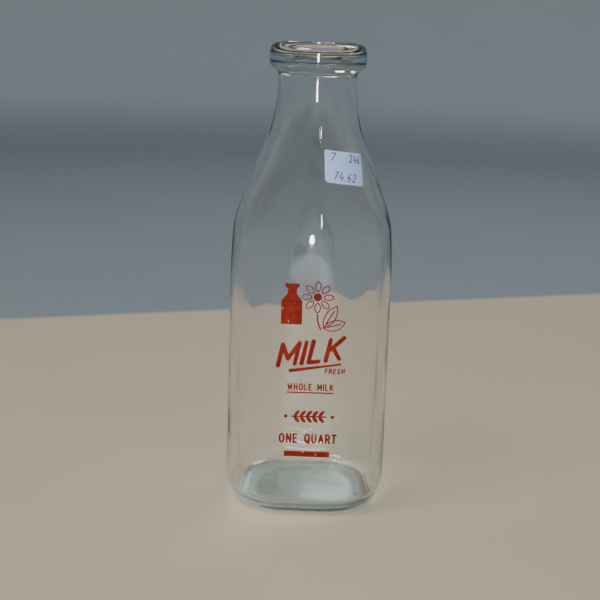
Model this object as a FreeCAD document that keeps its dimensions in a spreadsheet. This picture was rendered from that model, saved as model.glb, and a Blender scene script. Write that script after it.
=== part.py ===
import FreeCAD, Part

"""A square glass milk bottle with a round neck, its fired enamel print and a paper sticker.

Millimetres. +Z is up, the printed face looks along -Y, and the origin is the middle of the base.
The glass is one piece. Each patch of enamel is a thin skin on the outside of the glass.
"""

import math
import os

import Sketcher

Vector = FreeCAD.Vector

SIZES = [
    # alias, millimetres or degrees, what it is
    ("bottle_height", 260.35, "overall height"),
    ("half_width", 45.3, "from the axis to a flat face of the body"),
    ("corner_round", 34.0, "radius of the body's upright corners"),
    ("corner_reach", 50.0, "from the axis to the body's corners"),
    ("wall", 3.6, "glass in the body, shoulder and neck"),
    ("heel_round", 14.0, "outside radius where body meets base"),
    ("floor_height", 5.0, "inside floor above the table"),
    ("floor_round", 8.0, "inside radius where body meets floor"),
    ("floor_reach", 30.0, "from the axis to the edge of the floor's low dome"),
    ("floor_rise", 2.6, "how far that dome rises in the middle"),
    ("push_up_reach", 27.5, "from the axis to the edge of the hollow under the base"),
    ("push_up_depth", 2.2, "depth of that hollow"),
    ("neck_radius", 21.8, "outside of the neck"),
    ("neck_low", 239.7, "where the neck starts to flare"),
    ("neck_flare", 93.0, "radius of the flare below the neck"),
    ("shoulder_angle", 20.65, "shoulder's slope from upright"),
    ("shoulder_bend", 60.0, "radius where the slope turns into the body"),
    ("body_angle", 9.0, "slope where that bend ends"),
    ("body_bend", 380.0, "long radius down to the corners"),
    ("lip_radius", 26.85, "outside of the lip"),
    ("lip_low", 250.7, "mould line round the lip, where its bowl starts"),
    ("lip_foot", 242.0, "where the lip's bowl meets the neck"),
    ("lip_round", 5.0, "rounding of the lip's top edge"),
    ("seat_radius", 20.75, "seat for a 41.3 mm cap disc"),
    ("seat_depth", 5.5, "depth of the cap seat"),
    ("enamel", 0.15, "thickness of the fired enamel"),
    ("print_low", 30.0, "bottom of the band that holds the print"),
    ("print_high", 145.0, "top of that band"),
    ("print_middle", 1.6, "middle of the print, to the right of the axis"),
    ("line_width", 0.6, "thin enamel lines"),
    ("paper", 0.12, "thickness of the sticker"),
    ("sticker_width", 23.9, "sticker across"),
    ("sticker_height", 18.1, "sticker from top to bottom, along the slope"),
    ("sticker_turn", 31.4, "sticker round the axis, from the front"),
    ("sticker_level", 195.2, "middle of the sticker above the table"),
    ("sticker_twist", -8.2, "how far it is stuck on askew"),
    ("ink", 0.04, "thickness of the ink"),
    ("ink_line", 0.5, "pen line"),
]

# Strokes of plain block letters and digits, in a cell one high. Each path is a list of corners.
GLYPHS = {
    "A": (0.70, [[(0, 0), (0.35, 1), (0.7, 0)], [(0.13, 0.36), (0.57, 0.36)]]),
    "E": (0.55, [[(0.55, 1), (0, 1), (0, 0), (0.55, 0)], [(0, 0.52), (0.46, 0.52)]]),
    "F": (0.55, [[(0.55, 1), (0, 1), (0, 0)], [(0, 0.52), (0.46, 0.52)]]),
    "H": (0.64, [[(0, 0), (0, 1)], [(0.64, 0), (0.64, 1)], [(0, 0.52), (0.64, 0.52)]]),
    "I": (0.0, [[(0, 0), (0, 1)]]),
    "K": (0.64, [[(0, 0), (0, 1)], [(0.64, 1), (0, 0.42)], [(0.2, 0.6), (0.66, 0)]]),
    "L": (0.52, [[(0, 1), (0, 0), (0.52, 0)]]),
    "M": (0.82, [[(0, 0), (0, 1), (0.41, 0.34), (0.82, 1), (0.82, 0)]]),
    "N": (0.68, [[(0, 0), (0, 1), (0.68, 0), (0.68, 1)]]),
    "O": (0.72, [[(0.24, 0), (0, 0.25), (0, 0.75), (0.24, 1), (0.48, 1), (0.72, 0.75),
                  (0.72, 0.25), (0.48, 0), (0.24, 0)]]),
    "Q": (0.72, [[(0.24, 0), (0, 0.25), (0, 0.75), (0.24, 1), (0.48, 1), (0.72, 0.75),
                  (0.72, 0.25), (0.48, 0), (0.24, 0)], [(0.42, 0.28), (0.74, -0.06)]]),
    "R": (0.62, [[(0, 0), (0, 1), (0.4, 1), (0.6, 0.86), (0.6, 0.64), (0.4, 0.5), (0, 0.5)],
                 [(0.34, 0.5), (0.64, 0)]]),
    "S": (0.58, [[(0.58, 0.84), (0.42, 1), (0.16, 1), (0, 0.85), (0, 0.66), (0.16, 0.54),
                  (0.42, 0.47), (0.58, 0.34), (0.58, 0.15), (0.42, 0), (0.16, 0), (0, 0.16)]]),
    "T": (0.62, [[(0, 1), (0.62, 1)], [(0.31, 1), (0.31, 0)]]),
    "U": (0.66, [[(0, 1), (0, 0.24), (0.2, 0), (0.46, 0), (0.66, 0.24), (0.66, 1)]]),
    "W": (0.94, [[(0, 1), (0.22, 0), (0.47, 0.72), (0.72, 0), (0.94, 1)]]),
    "2": (0.56, [[(0, 0.8), (0.16, 1), (0.42, 1), (0.56, 0.8), (0.5, 0.55), (0, 0), (0.58, 0)]]),
    "4": (0.60, [[(0.44, 0), (0.44, 1)], [(0.44, 1), (0, 0.34), (0.62, 0.34)]]),
    "6": (0.58, [[(0.46, 1), (0.14, 0.68), (0, 0.3), (0.14, 0), (0.44, 0), (0.58, 0.2),
                  (0.56, 0.42), (0.34, 0.54)], [(0.34, 0.54), (0.05, 0.42)]]),
    "7": (0.56, [[(0, 1), (0.56, 1), (0.2, 0)]]),
    ".": (0.10, [[(0, 0), (0.1, 0)]]),
}

doc = FreeCAD.newDocument("MilkBottle")
sheet = doc.addObject("Spreadsheet::Sheet", "Sizes")
for row, (alias, value, meaning) in enumerate(SIZES, start=1):
    sheet.set(f"A{row}", meaning)
    sheet.set(f"B{row}", str(value))
    sheet.setAlias(f"B{row}", alias)
doc.recompute()
nodes = []


def size(alias):
    """The number in the sheet's cell of this name."""
    return float(getattr(sheet, alias))


def node(item, name):
    """Names a finished sub-part, which is written to its own file."""
    item.Label = name
    nodes.append(item)
    return item


def plane(body, role):
    """One of the body's own origin planes."""
    return next(f for f in body.Origin.OriginFeatures if f.Role == role)


# ---------------------------------------------------------------- the glass


class Profile:
    """Half of a turned shape: lines and arcs in the body's XZ plane, turned about Z."""

    def __init__(self, name):
        self.body = doc.addObject("PartDesign::Body", name)
        self.sketch = self.body.newObject("Sketcher::SketchObject", name + "Profile")
        self.sketch.AttachmentSupport = [(plane(self.body, "XZ_Plane"), "")]
        self.sketch.MapMode = "FlatFace"

    def line(self, start, end):
        segment = Part.LineSegment(Vector(*start, 0), Vector(*end, 0))
        return self.sketch.addGeometry(segment, False)

    def arc(self, centre, radius, low, high):
        """An arc from angle low up to angle high, in degrees, which are its ends 1 and 2."""
        circle = Part.Circle(Vector(*centre, 0), Vector(0, 0, 1), radius)
        piece = Part.ArcOfCircle(circle, math.radians(low), math.radians(high))
        return self.sketch.addGeometry(piece, False)

    def rule(self, kind, *where):
        return self.sketch.addConstraint(Sketcher.Constraint(kind, *where))

    def bind(self, kind, *where_value_rule):
        """A dimension that follows the sheet: what it measures, its value now, its expression."""
        *where, value, expression = where_value_rule
        index = self.rule(kind, *where, value)
        self.sketch.setExpression(f"Constraints[{index}]", expression)

    def turn(self):
        turned = self.body.newObject("PartDesign::Revolution", self.sketch.Name + "Turned")
        turned.Profile = self.sketch
        turned.ReferenceAxis = (self.sketch, ["V_Axis"])
        turned.Angle = 360.0
        self.body.Tip = turned
        return self.body


def shoulder_form(name, grow_by, grow, above):
    """The turned shape of body, shoulder and neck, larger all over by grow_by.

    grow is the same amount as an expression. The shape runs above the lip by above.
    """
    neck = size("neck_radius") + grow_by
    reach = size("corner_reach") + grow_by
    flare = size("neck_flare") - grow_by
    bend = size("shoulder_bend") + grow_by
    long_bend = size("body_bend") + grow_by
    slope = math.radians(size("shoulder_angle"))
    steep = math.radians(size("body_angle"))
    top = size("bottle_height") + above

    bend_x = reach - long_bend - (bend - long_bend) * math.cos(steep)
    flare_end = (neck + flare * (1 - math.cos(slope)), size("neck_low") - flare * math.sin(slope))
    bend_top_x = bend_x + bend * math.cos(slope)
    bend_top_z = flare_end[1] - (bend_top_x - flare_end[0]) / math.tan(slope)
    bend_z = bend_top_z - bend * math.sin(slope)
    side_top = bend_z + (bend - long_bend) * math.sin(steep)

    part = Profile(name)
    floor = part.line((0, 0), (reach, 0))
    side = part.line((reach, 0), (reach, side_top))
    long_arc = part.arc((reach - long_bend, side_top), long_bend, 0, math.degrees(steep))
    knee = part.arc((bend_x, bend_z), bend, math.degrees(steep), math.degrees(slope))
    straight = part.line((bend_top_x, bend_top_z), flare_end)
    throat = part.arc((neck + flare, size("neck_low")), flare, 180, 180 + math.degrees(slope))
    upright = part.line((neck, size("neck_low")), (neck, top))
    lid = part.line((neck, top), (0, top))
    middle = part.line((0, top), (0, 0))

    part.rule("Coincident", floor, 1, -1, 1)
    part.rule("Coincident", floor, 2, side, 1)
    part.rule("Tangent", side, 2, long_arc, 1)
    part.rule("Tangent", long_arc, 2, knee, 1)
    part.rule("Tangent", knee, 2, straight, 1)
    part.rule("Tangent", straight, 2, throat, 2)
    part.rule("Tangent", throat, 1, upright, 1)
    part.rule("Coincident", upright, 2, lid, 1)
    part.rule("Coincident", lid, 2, middle, 1)
    part.rule("Coincident", middle, 2, floor, 1)
    for level in (floor, lid):
        part.rule("Horizontal", level)
    for wall in (side, upright, middle):
        part.rule("Vertical", wall)
    part.bind("DistanceX", floor, 1, floor, 2, reach, f"Sizes.corner_reach + {grow}")
    part.bind("DistanceX", lid, 2, lid, 1, neck, f"Sizes.neck_radius + {grow}")
    part.bind("DistanceY", -1, 1, lid, 1, top, f"Sizes.bottle_height + {above}")
    part.bind("DistanceY", -1, 1, throat, 1, size("neck_low"), "Sizes.neck_low")
    part.bind("Radius", long_arc, long_bend, f"Sizes.body_bend + {grow}")
    part.bind("Radius", knee, bend, f"Sizes.shoulder_bend + {grow}")
    part.bind("Radius", throat, flare, f"Sizes.neck_flare - ({grow})")
    return part.turn()


def finish_form():
    """The lip with its bowl-shaped underside, standing on the neck."""
    foot, low = size("lip_foot"), size("lip_low")
    neck, lip = size("neck_radius"), size("lip_radius")
    top, edge = size("bottle_height"), size("lip_round")
    out, rise = lip - neck, low - foot
    bowl = (out * out + rise * rise) / (4 * out)
    sweep = math.degrees(math.asin(rise / (2 * bowl)))
    below = foot - edge

    part = Profile("Finish")
    floor = part.line((0, below), (neck, below))
    stem = part.line((neck, below), (neck, foot))
    hollow = part.arc((neck + bowl, foot), bowl, 180 - sweep, 180)
    belly = part.arc((lip - bowl, low), bowl, -sweep, 0)
    band = part.line((lip, low), (lip, top - edge))
    crown = part.arc((lip - edge, top - edge), edge, 0, 90)
    lid = part.line((lip - edge, top), (0, top))
    middle = part.line((0, top), (0, below))

    part.rule("Coincident", floor, 2, stem, 1)
    part.rule("Tangent", stem, 2, hollow, 2)
    part.rule("Tangent", hollow, 1, belly, 1)
    part.rule("Tangent", belly, 2, band, 1)
    part.rule("Tangent", band, 2, crown, 1)
    part.rule("Tangent", crown, 2, lid, 1)
    part.rule("Coincident", lid, 2, middle, 1)
    part.rule("Coincident", middle, 2, floor, 1)
    part.rule("Equal", hollow, belly)
    part.rule("PointOnObject", floor, 1, -2)
    part.rule("Horizontal", floor)
    for wall in (stem, band, middle):
        part.rule("Vertical", wall)
    part.bind("DistanceX", floor, 1, floor, 2, neck, "Sizes.neck_radius")
    part.bind("DistanceX", -1, 1, band, 1, lip, "Sizes.lip_radius")
    part.bind("DistanceY", -1, 1, lid, 2, top, "Sizes.bottle_height")
    part.bind("DistanceY", -1, 1, band, 1, low, "Sizes.lip_low")
    part.bind("DistanceY", -1, 1, stem, 2, foot, "Sizes.lip_foot")
    part.bind("DistanceY", -1, 1, floor, 2, below, "Sizes.lip_foot - Sizes.lip_round")
    part.bind("Radius", crown, edge, "Sizes.lip_round")
    return part.turn()


def rounded_block(name, half, corner, low, high, edge=None):
    """A square block with round upright corners. edge rounds its lower edges.

    Every size is an expression in the sheet's names.
    """
    body = doc.addObject("PartDesign::Body", name)
    block = body.newObject("PartDesign::AdditiveBox", name + "Block")
    block.setExpression("Length", f"2 * ({half})")
    block.setExpression("Width", f"2 * ({half})")
    block.setExpression("Height", f"({high}) - ({low})")
    block.setExpression("Placement.Base.x", f"-1 * ({half})")
    block.setExpression("Placement.Base.y", f"-1 * ({half})")
    block.setExpression("Placement.Base.z", low)
    doc.recompute()

    corners = body.newObject("PartDesign::Fillet", name + "Corners")
    box = block.Shape.BoundBox
    upright = [f"Edge{i}" for i, e in enumerate(block.Shape.Edges, start=1)
               if abs(e.BoundBox.ZLength - box.ZLength) < 1e-6]
    corners.Base = (block, upright)
    corners.setExpression("Radius", corner)
    body.Tip = corners
    doc.recompute()

    if edge:
        rim = [f"Edge{i}" for i, e in enumerate(corners.Shape.Edges, start=1)
               if abs(e.BoundBox.ZMax - box.ZMin) < 1e-6]
        rounded = body.newObject("PartDesign::Fillet", name + "Edge")
        rounded.Base = (corners, rim)
        rounded.setExpression("Radius", edge)
        body.Tip = rounded
        doc.recompute()
    return body


def boolean(kind, name, *shapes):
    """A Part boolean: Common and Cut take two shapes, MultiFuse any number."""
    item = doc.addObject("Part::" + kind, name)
    if kind == "MultiFuse":
        item.Shapes = list(shapes)
    else:
        item.Base, item.Tool = shapes
    return item


def cylinder(name, radius, height, low):
    item = doc.addObject("Part::Cylinder", name)
    item.setExpression("Radius", radius)
    item.setExpression("Height", height)
    item.setExpression("Placement.Base.z", low)
    return item


def dome(name, reach, rise, level):
    """A large ball whose cap stands this far above a level, and is this wide where it meets it.

    Every size is an expression in the sheet's names.
    """
    item = doc.addObject("Part::Sphere", name)
    radius = f"(({reach}) * ({reach}) + ({rise}) * ({rise})) / (2 * ({rise}))"
    item.setExpression("Radius", radius)
    item.setExpression("Placement.Base.z", f"({level}) + ({rise}) - {radius}")
    return item


def make_outside():
    """The outside of the glass as one solid: square body, turned shoulder and neck, and lip."""
    block = rounded_block("BodyBlock", "Sizes.half_width", "Sizes.corner_round", "0",
                          "Sizes.bottle_height", "Sizes.heel_round")
    body = boolean("Common", "BodyAndNeck", shoulder_form("BodyForm", 0.0, "0", 0.0), block)
    return boolean("MultiFuse", "Outside", body, finish_form())


def make_glass(outside):
    """The outside less the cavity, the cap seat and the hollow under the base."""
    wall = size("wall")
    form = shoulder_form("CavityForm", -wall, "-Sizes.wall", 1.0)
    block = rounded_block("CavityBlock", "Sizes.half_width - Sizes.wall",
                          "Sizes.corner_round - Sizes.wall", "Sizes.floor_height",
                          "Sizes.bottle_height + 1", "Sizes.floor_round")
    room = boolean("Common", "CavityOverFlatFloor", form, block)
    floor = dome("FloorDome", "Sizes.floor_reach", "Sizes.floor_rise", "Sizes.floor_height")
    cavity = boolean("Cut", "Cavity", room, floor)
    seat = cylinder("CapSeat", "Sizes.seat_radius", "Sizes.seat_depth + 1",
                    "Sizes.bottle_height - Sizes.seat_depth")
    push_up = dome("PushUp", "Sizes.push_up_reach", "Sizes.push_up_depth", "0")
    hollows = boolean("MultiFuse", "Hollows", cavity, seat, push_up)
    return node(boolean("Cut", "BottleGlass", outside, hollows), "bottle_glass")


# ---------------------------------------------------------------- the enamel print


def make_enamel_skin(outside):
    """A layer as thick as the enamel, all round the band of the body that holds the print."""
    block = rounded_block("SkinBlock", "Sizes.half_width + Sizes.enamel",
                          "Sizes.corner_round + Sizes.enamel", "Sizes.print_low",
                          "Sizes.print_high")
    form = shoulder_form("SkinForm", size("enamel"), "Sizes.enamel", 0.0)
    grown = boolean("Common", "SkinOutside", form, block)
    return boolean("Cut", "EnamelSkin", grown, outside)


def at(x, z):
    """A point on the print: x from the print's middle, z above the table."""
    return Vector(size("print_middle") + x, 0, z)


def stroke(points, width):
    """Flat strokes of even width from point to point, in the XZ plane, with round ends."""
    return [capsule(a, b, width) for a, b in zip(points, points[1:])]


def capsule(start, end, width):
    """One straight stroke with round ends."""
    along = (end - start).normalize() * (width / 2)
    aside = Vector(-along.z, 0, along.x)
    edges = [Part.makeLine(start + aside, end + aside),
             Part.Arc(end + aside, end + along, end - aside).toShape(),
             Part.makeLine(end - aside, start - aside),
             Part.Arc(start - aside, start - along, start + aside).toShape()]
    return Part.Face(Part.Wire(edges))


def filled(points):
    """A flat filled shape with these corners."""
    return Part.Face(Part.makePolygon(points + points[:1]))


def ring(outline, width):
    """A closed outline drawn as a line of this width, measured inwards."""
    inside = Part.Face(outline.makeOffset2D(-width))
    return Part.Face(outline).cut(inside).Faces[0]


def lens(start, end, swell):
    """A leaf's or petal's outline: two arcs from start to end, this far apart in the middle."""
    along = end - start
    aside = Vector(-along.z, 0, along.x).normalize() * (swell / 2)
    middle = (start + end) * 0.5
    arcs = [Part.Arc(start, middle + aside, end), Part.Arc(end, middle - aside, start)]
    return Part.Wire([a.toShape() for a in arcs])


def words(text, centre, cap_height, width, line, lean=0.0, climb=0.0, gap=0.34):
    """Block letters centred on a point, stretched to a width, leaning and climbing in degrees.

    gap is the space between letters, in the same units as the glyphs.
    """
    total = sum(GLYPHS[c][0] if c != " " else 0.5 for c in text) + gap * (len(text) - 1)
    across = width / total
    shear, slope = math.tan(math.radians(lean)), math.tan(math.radians(climb))
    faces, cursor = [], -total / 2
    for letter in text:
        advance, paths = GLYPHS.get(letter, (0.5, []))
        for path in paths:
            points = []
            for u, v in path:
                high = (v - 0.5) * cap_height
                x = (cursor + u) * across + high * shear
                points.append(Vector(centre.x + x, 0, centre.z + high + x * slope))
            faces += stroke(points, line)
        cursor += advance + gap
    return faces


def enamel(name, faces, skin):
    """One node of the print: flat shapes pushed through the enamel layer."""
    title = "".join(word.capitalize() for word in name.split("_"))
    through = Vector(0, -2 * size("half_width"), 0)
    solids = [face.extrude(through) for face in faces]
    cutter = doc.addObject("Part::Feature", title + "Cutter")
    joined = solids[0].multiFuse(solids[1:]) if len(solids) > 1 else solids[0]
    cutter.Shape = joined.removeSplitter()
    cutter.Placement = FreeCAD.Placement()
    return node(boolean("Common", title, cutter, skin), "enamel_" + name)


def make_emblem(skin):
    """A milk churn, a daisy with its stem, and two leaves."""
    line = size("line_width")
    churn = [at(-17.0, 112.0), at(-17.0, 125.0), at(-13.8, 129.0), at(-13.8, 131.6),
             at(-15.2, 133.2), at(-15.2, 134.6), at(-7.4, 134.6), at(-7.4, 133.2),
             at(-8.8, 131.6), at(-8.8, 129.0), at(-5.6, 125.0), at(-5.6, 112.0)]
    enamel("churn", [filled(churn)], skin)

    flower, reach = at(2.6, 127.4), 9.0
    petals, turn = [], 360 / 8
    for i in range(8):
        angle = math.radians(turn * i)
        way = Vector(math.sin(angle), 0, math.cos(angle))
        petals.append(ring(lens(flower + way * 2.9, flower + way * reach, 3.6), line))
    enamel("petals", petals, skin)

    disc = Part.Wire(Part.makeCircle(2.2, flower, Vector(0, -1, 0)))
    enamel("flower_eye", [Part.Face(disc)], skin)

    root, fork = at(4.6, 109.6), at(3.0, 113.8)
    enamel("stem", stroke([root, fork, at(2.6, 117.6)], 1.5 * line), skin)

    leaf_faces, foot = [], at(6.0, 110.2)
    for tip in (at(13.4, 123.0), at(18.0, 113.6)):
        leaf_faces.append(ring(lens(foot, tip, 6.2), line))
        leaf_faces += stroke([foot + (tip - foot) * part for part in (0.2, 0.78)], line)
    enamel("leaves", leaf_faces, skin)


def make_lettering(skin):
    """Plain words that any milk bottle could carry, with their rules, marks and bar."""
    line = size("line_width")
    enamel("big_word", words("MILK", at(-0.2, 96.8), 11.5, 33.0, 2.5, lean=12, climb=8), skin)
    sweep = [at(-12.0, 86.8), at(16.5, 90.9), at(16.6, 89.9), at(-11.8, 84.9)]
    enamel("big_underline", [filled(sweep)], skin)
    enamel("small_word", words("FRESH", at(13.2, 86.2), 2.5, 10.4, line, lean=8, gap=0.5),
           skin)
    enamel("middle_line", words("WHOLE MILK", at(0.2, 76.9), 3.3, 24.6, 1.2 * line, gap=0.52),
           skin)
    enamel("middle_rule", stroke([at(-12.3, 73.7), at(12.6, 73.7)], 1.3 * line), skin)

    # a sprig: a stem with pairs of small leaves
    sprig, pairs = stroke([at(-9.6, 60.0), at(9.4, 60.0)], 1.4 * line), 5
    for i in range(pairs):
        foot = at(-8.4 + 3.4 * i, 60.0)
        for side in (-1, 1):
            tip = foot + Vector(3.2, 0, 3.6 * side)
            sprig.append(Part.Face(lens(foot, tip, 1.9)))
    enamel("sprig", sprig, skin)

    marks = [Part.Face(Part.Wire(Part.makeCircle(1.0, at(x, 60.0), Vector(0, -1, 0))))
             for x in (-12.8, 12.8)]
    enamel("marks", marks, skin)
    enamel("capacity_line", words("ONE QUART", at(-0.4, 47.3), 4.6, 31.0, 1.0, gap=0.52), skin)
    bar = [at(-13.2, 36.7), at(-13.2, 39.9), at(11.8, 39.9), at(11.8, 36.7)]
    enamel("bar", [filled(bar)], skin)


# ---------------------------------------------------------------- the sticker


def sticker_frame():
    """Where the sticker sits: its middle on the shoulder, X across it, Y up it, Z outwards."""
    slope = size("shoulder_angle")
    flare = size("neck_flare")
    turn = math.radians(slope)
    start_x = size("neck_radius") + flare * (1 - math.cos(turn))
    start_z = size("neck_low") - flare * math.sin(turn)
    radius = start_x + (start_z - size("sticker_level")) * math.tan(turn)
    spin = FreeCAD.Rotation(Vector(0, 0, 1), size("sticker_turn"))
    tilt = FreeCAD.Rotation(Vector(1, 0, 0), 90 - slope)
    twist = FreeCAD.Rotation(Vector(0, 0, 1), size("sticker_twist"))
    middle = spin.multVec(Vector(0, -radius, size("sticker_level")))
    return FreeCAD.Placement(middle, spin.multiply(tilt).multiply(twist))


def layer(name, inner, outer, above):
    """A skin of the shoulder between two distances outside the glass."""
    forms = [shoulder_form(name + side, size_now, rule, above)
             for side, (size_now, rule) in (("Inner", inner), ("Outer", outer))]
    return boolean("Cut", name, forms[1], forms[0])


def make_sticker():
    """The paper, a square patch with rounded corners that follows the shoulder."""
    frame = sticker_frame()
    glass, paper = (0.0, "0"), (size("paper"), "Sizes.paper")
    inked = (size("paper") + size("ink"), "Sizes.paper + Sizes.ink")
    paper_layer = layer("PaperLayer", glass, paper, 0.0)
    ink_layer = layer("InkLayer", paper, inked, 0.0)
    deep = 8.0

    patch = doc.addObject("PartDesign::Body", "StickerPatch")
    sheet_block = patch.newObject("PartDesign::AdditiveBox", "StickerBlock")
    sheet_block.setExpression("Length", "Sizes.sticker_width")
    sheet_block.setExpression("Width", "Sizes.sticker_height")
    sheet_block.Height = 2 * deep
    sheet_block.setExpression("Placement.Base.x", "-0.5 * Sizes.sticker_width")
    sheet_block.setExpression("Placement.Base.y", "-0.5 * Sizes.sticker_height")
    sheet_block.Placement.Base.z = -deep
    doc.recompute()
    corners = patch.newObject("PartDesign::Fillet", "StickerCorners")
    upright = [f"Edge{i}" for i, e in enumerate(sheet_block.Shape.Edges, start=1)
               if abs(e.BoundBox.ZLength - 2 * deep) < 1e-6]
    corners.Base = (sheet_block, upright)
    corners.Radius = 1.5
    patch.Tip = corners
    patch.Placement = frame
    node(boolean("Common", "Sticker", patch, paper_layer), "sticker_paper")

    faces = []
    for text, x, y, high, across in (("7", -7.4, 5.6, 4.4, 2.8), ("246", 6.4, 5.7, 4.2, 7.4),
                                     ("74.62", -0.2, -4.9, 4.4, 13.2)):
        faces += words(text, Vector(x, 0, y), high, across, size("ink_line"), lean=8)
    lay_down = FreeCAD.Placement(Vector(0, 0, -deep), FreeCAD.Rotation(Vector(1, 0, 0), -90))
    digits = [face.transformed(lay_down.toMatrix()).extrude(Vector(0, 0, 2 * deep))
              for face in faces]
    pen = doc.addObject("Part::Feature", "PenCutter")
    pen.Shape = digits[0].multiFuse(digits[1:]).removeSplitter()
    pen.Placement = frame
    node(boolean("Common", "Ink", pen, ink_layer), "sticker_ink")


def check_and_write():
    """Stops on any failed object or shape, then writes each node to its own file."""
    doc.recompute()
    for item in doc.Objects:
        if "Invalid" in item.State or "Error" in item.State:
            raise RuntimeError(f"{item.Label} failed: {item.State}")
    os.makedirs("parts", exist_ok=True)
    for item in nodes:
        shape = item.Shape
        if shape.isNull() or not shape.isValid() or not shape.Solids:
            raise RuntimeError(f"{item.Label} has no valid solid")
        shape.exportStep(f"parts/{item.Label}.step")
        print(f"{item.Label}: {len(shape.Solids)} solid(s), {shape.Volume:.1f} mm3")


outside_glass = make_outside()
make_glass(outside_glass)
enamel_skin = make_enamel_skin(outside_glass)
make_emblem(enamel_skin)
make_lettering(enamel_skin)
make_sticker()
check_and_write()
cavity_shape = doc.getObject("Cavity").Shape
print(f"the cavity holds {cavity_shape.Volume / 1e6:.3f} litres to 1 mm above the brim")
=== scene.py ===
import math

import bmesh
import bpy
import numpy as np
from mathutils import Matrix, Vector


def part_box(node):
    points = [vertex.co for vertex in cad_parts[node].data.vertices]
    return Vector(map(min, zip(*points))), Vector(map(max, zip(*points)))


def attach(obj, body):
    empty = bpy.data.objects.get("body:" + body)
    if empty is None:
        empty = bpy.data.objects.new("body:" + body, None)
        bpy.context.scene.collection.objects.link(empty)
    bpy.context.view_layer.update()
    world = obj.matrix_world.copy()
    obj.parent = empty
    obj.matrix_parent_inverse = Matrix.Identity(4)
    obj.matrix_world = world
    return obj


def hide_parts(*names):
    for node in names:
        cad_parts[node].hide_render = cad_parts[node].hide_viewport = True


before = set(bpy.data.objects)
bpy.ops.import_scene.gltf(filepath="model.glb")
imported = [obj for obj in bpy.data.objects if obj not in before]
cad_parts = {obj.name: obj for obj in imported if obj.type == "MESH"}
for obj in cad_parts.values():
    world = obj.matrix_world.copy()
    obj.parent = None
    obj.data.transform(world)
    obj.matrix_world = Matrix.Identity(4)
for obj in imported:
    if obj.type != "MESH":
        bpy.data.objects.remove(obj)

bl_info = {
    "name": "Square Milk Bottle",
    "version": (1, 0, 0),
    "blender": (4, 5, 0),
    "location": "View3D > Sidebar > Milk Bottle",
    "description": "A square glass milk bottle with fired enamel print and a paper sticker",
    "category": "Object",
}

MM = 0.001
BODY = "root"
GLASS_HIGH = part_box("bottle_glass")[1]
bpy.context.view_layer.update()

# Plain letters in a cell one high: advance, then strokes. "line" joins its corners, and "curve" runs
# smoothly through them.
ROUND = ("curve", [(0.39, 0), (0.06, 0.22), (0.06, 0.78), (0.39, 1), (0.72, 0.78), (0.72, 0.22),
                   (0.39, 0)])
GLYPHS = {
    "A": (0.74, [("line", [(0, 0), (0.37, 1), (0.74, 0)]), ("line", [(0.14, 0.34), (0.60, 0.34)])]),
    "E": (0.52, [("line", [(0.52, 1), (0, 1), (0, 0), (0.52, 0)]), ("line", [(0, 0.52), (0.44, 0.52)])]),
    "F": (0.52, [("line", [(0.52, 1), (0, 1), (0, 0)]), ("line", [(0, 0.52), (0.44, 0.52)])]),
    "H": (0.64, [("line", [(0, 0), (0, 1)]), ("line", [(0.64, 0), (0.64, 1)]),
                 ("line", [(0, 0.52), (0.64, 0.52)])]),
    "I": (0.0, [("line", [(0, 0), (0, 1)])]),
    "K": (0.64, [("line", [(0, 0), (0, 1)]), ("line", [(0.64, 1), (0, 0.42)]),
                 ("line", [(0.2, 0.6), (0.66, 0)])]),
    "L": (0.50, [("line", [(0, 1), (0, 0), (0.50, 0)])]),
    "M": (0.82, [("line", [(0, 0), (0, 1), (0.41, 0.3), (0.82, 1), (0.82, 0)])]),
    "N": (0.66, [("line", [(0, 0), (0, 1), (0.66, 0), (0.66, 1)])]),
    "O": (0.78, [ROUND]),
    "Q": (0.78, [ROUND, ("line", [(0.46, 0.26), (0.78, -0.08)])]),
    "R": (0.62, [("line", [(0, 0), (0, 1), (0.34, 1)]), ("line", [(0.34, 0.48), (0, 0.48)]),
                 ("curve", [(0.34, 1), (0.54, 0.92), (0.60, 0.74), (0.54, 0.56), (0.34, 0.48)]),
                 ("line", [(0.34, 0.48), (0.62, 0)])]),
    "S": (0.58, [("curve", [(0.56, 0.84), (0.30, 1), (0.04, 0.80), (0.14, 0.58), (0.44, 0.44),
                            (0.55, 0.22), (0.29, 0), (0, 0.17)])]),
    "T": (0.62, [("line", [(0, 1), (0.62, 1)]), ("line", [(0.31, 1), (0.31, 0)])]),
    "U": (0.66, [("line", [(0, 1), (0, 0.32)]), ("line", [(0.66, 0.32), (0.66, 1)]),
                 ("curve", [(0, 0.32), (0.09, 0.08), (0.33, 0), (0.57, 0.08), (0.66, 0.32)])]),
    "W": (0.96, [("line", [(0, 1), (0.23, 0), (0.48, 0.74), (0.73, 0), (0.96, 1)])]),
    "2": (0.56, [("curve", [(0.02, 0.76), (0.16, 0.97), (0.40, 0.98), (0.52, 0.76), (0.34, 0.36),
                            (0.0, 0.0)]), ("curve", [(0.0, 0.0), (0.3, 0.06), (0.58, -0.02)])]),
    "4": (0.60, [("line", [(0.42, -0.06), (0.46, 0.62)]),
                 ("line", [(0.24, 1.0), (0.0, 0.36), (0.62, 0.30)])]),
    "6": (0.54, [("curve", [(0.42, 1.0), (0.12, 0.66), (0.02, 0.28), (0.16, 0.0), (0.44, 0.08),
                            (0.50, 0.36), (0.28, 0.50), (0.06, 0.30)])]),
    "7": (0.56, [("line", [(0, 0.96), (0.56, 1.0)]), ("curve", [(0.56, 1), (0.36, 0.5), (0.2, 0)])]),
    ".": (0.10, [("line", [(0, 0.02), (0.08, 0.0)])]),
    " ": (0.50, []),
}


# ---------------------------------------------------------------- sizes and colours


def length(name, default, description):
    return bpy.props.FloatProperty(name=name, description=description, default=default,
                                   min=0.0, subtype="DISTANCE", unit="LENGTH", precision=5)


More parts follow.
